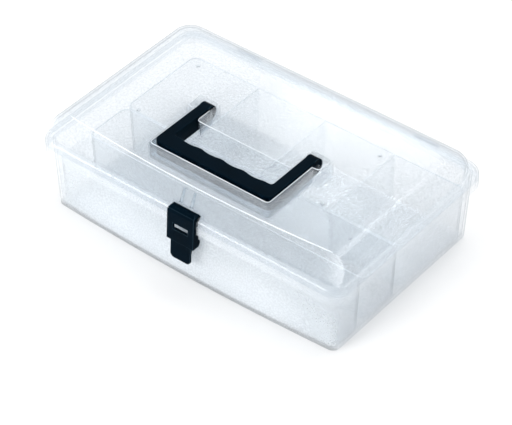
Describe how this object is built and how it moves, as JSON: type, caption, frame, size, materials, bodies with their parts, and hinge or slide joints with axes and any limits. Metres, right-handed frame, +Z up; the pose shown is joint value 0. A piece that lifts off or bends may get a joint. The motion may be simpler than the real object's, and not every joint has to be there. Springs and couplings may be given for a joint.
{
  "type": "sewing box",
  "caption": "Clear plastic sewing box with a hinged lid, folding carry handle, front latch and lift-out trays with loose dividers.",
  "frame": {"origin": "middle of the bottom face that the box stands on", "axes": "+X to the right along the front, +Y to the back (hinge side), +Z up"},
  "size_m": [0.32, 0.214, 0.0975],
  "materials": {
    "clear_plastic": "clear, glossy, slightly blue",
    "clear_tray": "clear, slightly frosted",
    "black_plastic": "semi-gloss black",
    "pin_steel": "plain steel"
  },
  "bodies": {
    "base": {"base_shell": "clear_plastic", "hinge_pin_left": "pin_steel", "hinge_pin_right": "pin_steel"},
    "lid": {"lid_shell": "clear_plastic"},
    "handle": {"carry_handle": "black_plastic"},
    "latch": {"latch": "black_plastic", "latch_pin": "pin_steel"},
    "rear_tray": {"rear_tray": "clear_tray", "divider_left": "clear_tray", "divider_middle": "clear_tray", "divider_right": "clear_tray"},
    "middle_tray": {"middle_tray": "clear_tray"},
    "front_tray": {"front_tray": "clear_tray"}
  },
  "joints": [
    {"name": "lid_hinge", "type": "hinge", "parent": "base", "child": "lid", "pos_m": [0, 0.1044, 0.067], "axis": [-1, 0, 0], "range_deg": [0, 105]},
    {"name": "handle_pivot", "type": "hinge", "parent": "lid", "child": "handle", "pos_m": [0, -0.0032, 0.0902], "axis": [-1, 0, 0], "range_deg": [0, 95]},
    {"name": "latch_pivot", "type": "hinge", "parent": "lid", "child": "latch", "pos_m": [0, -0.0996, 0.0737], "axis": [-1, 0, 0], "range_deg": [0, 55]},
    {"name": "rear_tray_lift", "type": "slide", "parent": "base", "child": "rear_tray", "axis": [0, 0, 1], "range_m": [0, 0.015]},
    {"name": "middle_tray_lift", "type": "slide", "parent": "base", "child": "middle_tray", "axis": [0, 0, 1], "range_m": [0, 0.018]},
    {"name": "front_tray_lift", "type": "slide", "parent": "base", "child": "front_tray", "axis": [0, 0, 1], "range_m": [0, 0.018]}
  ]
}
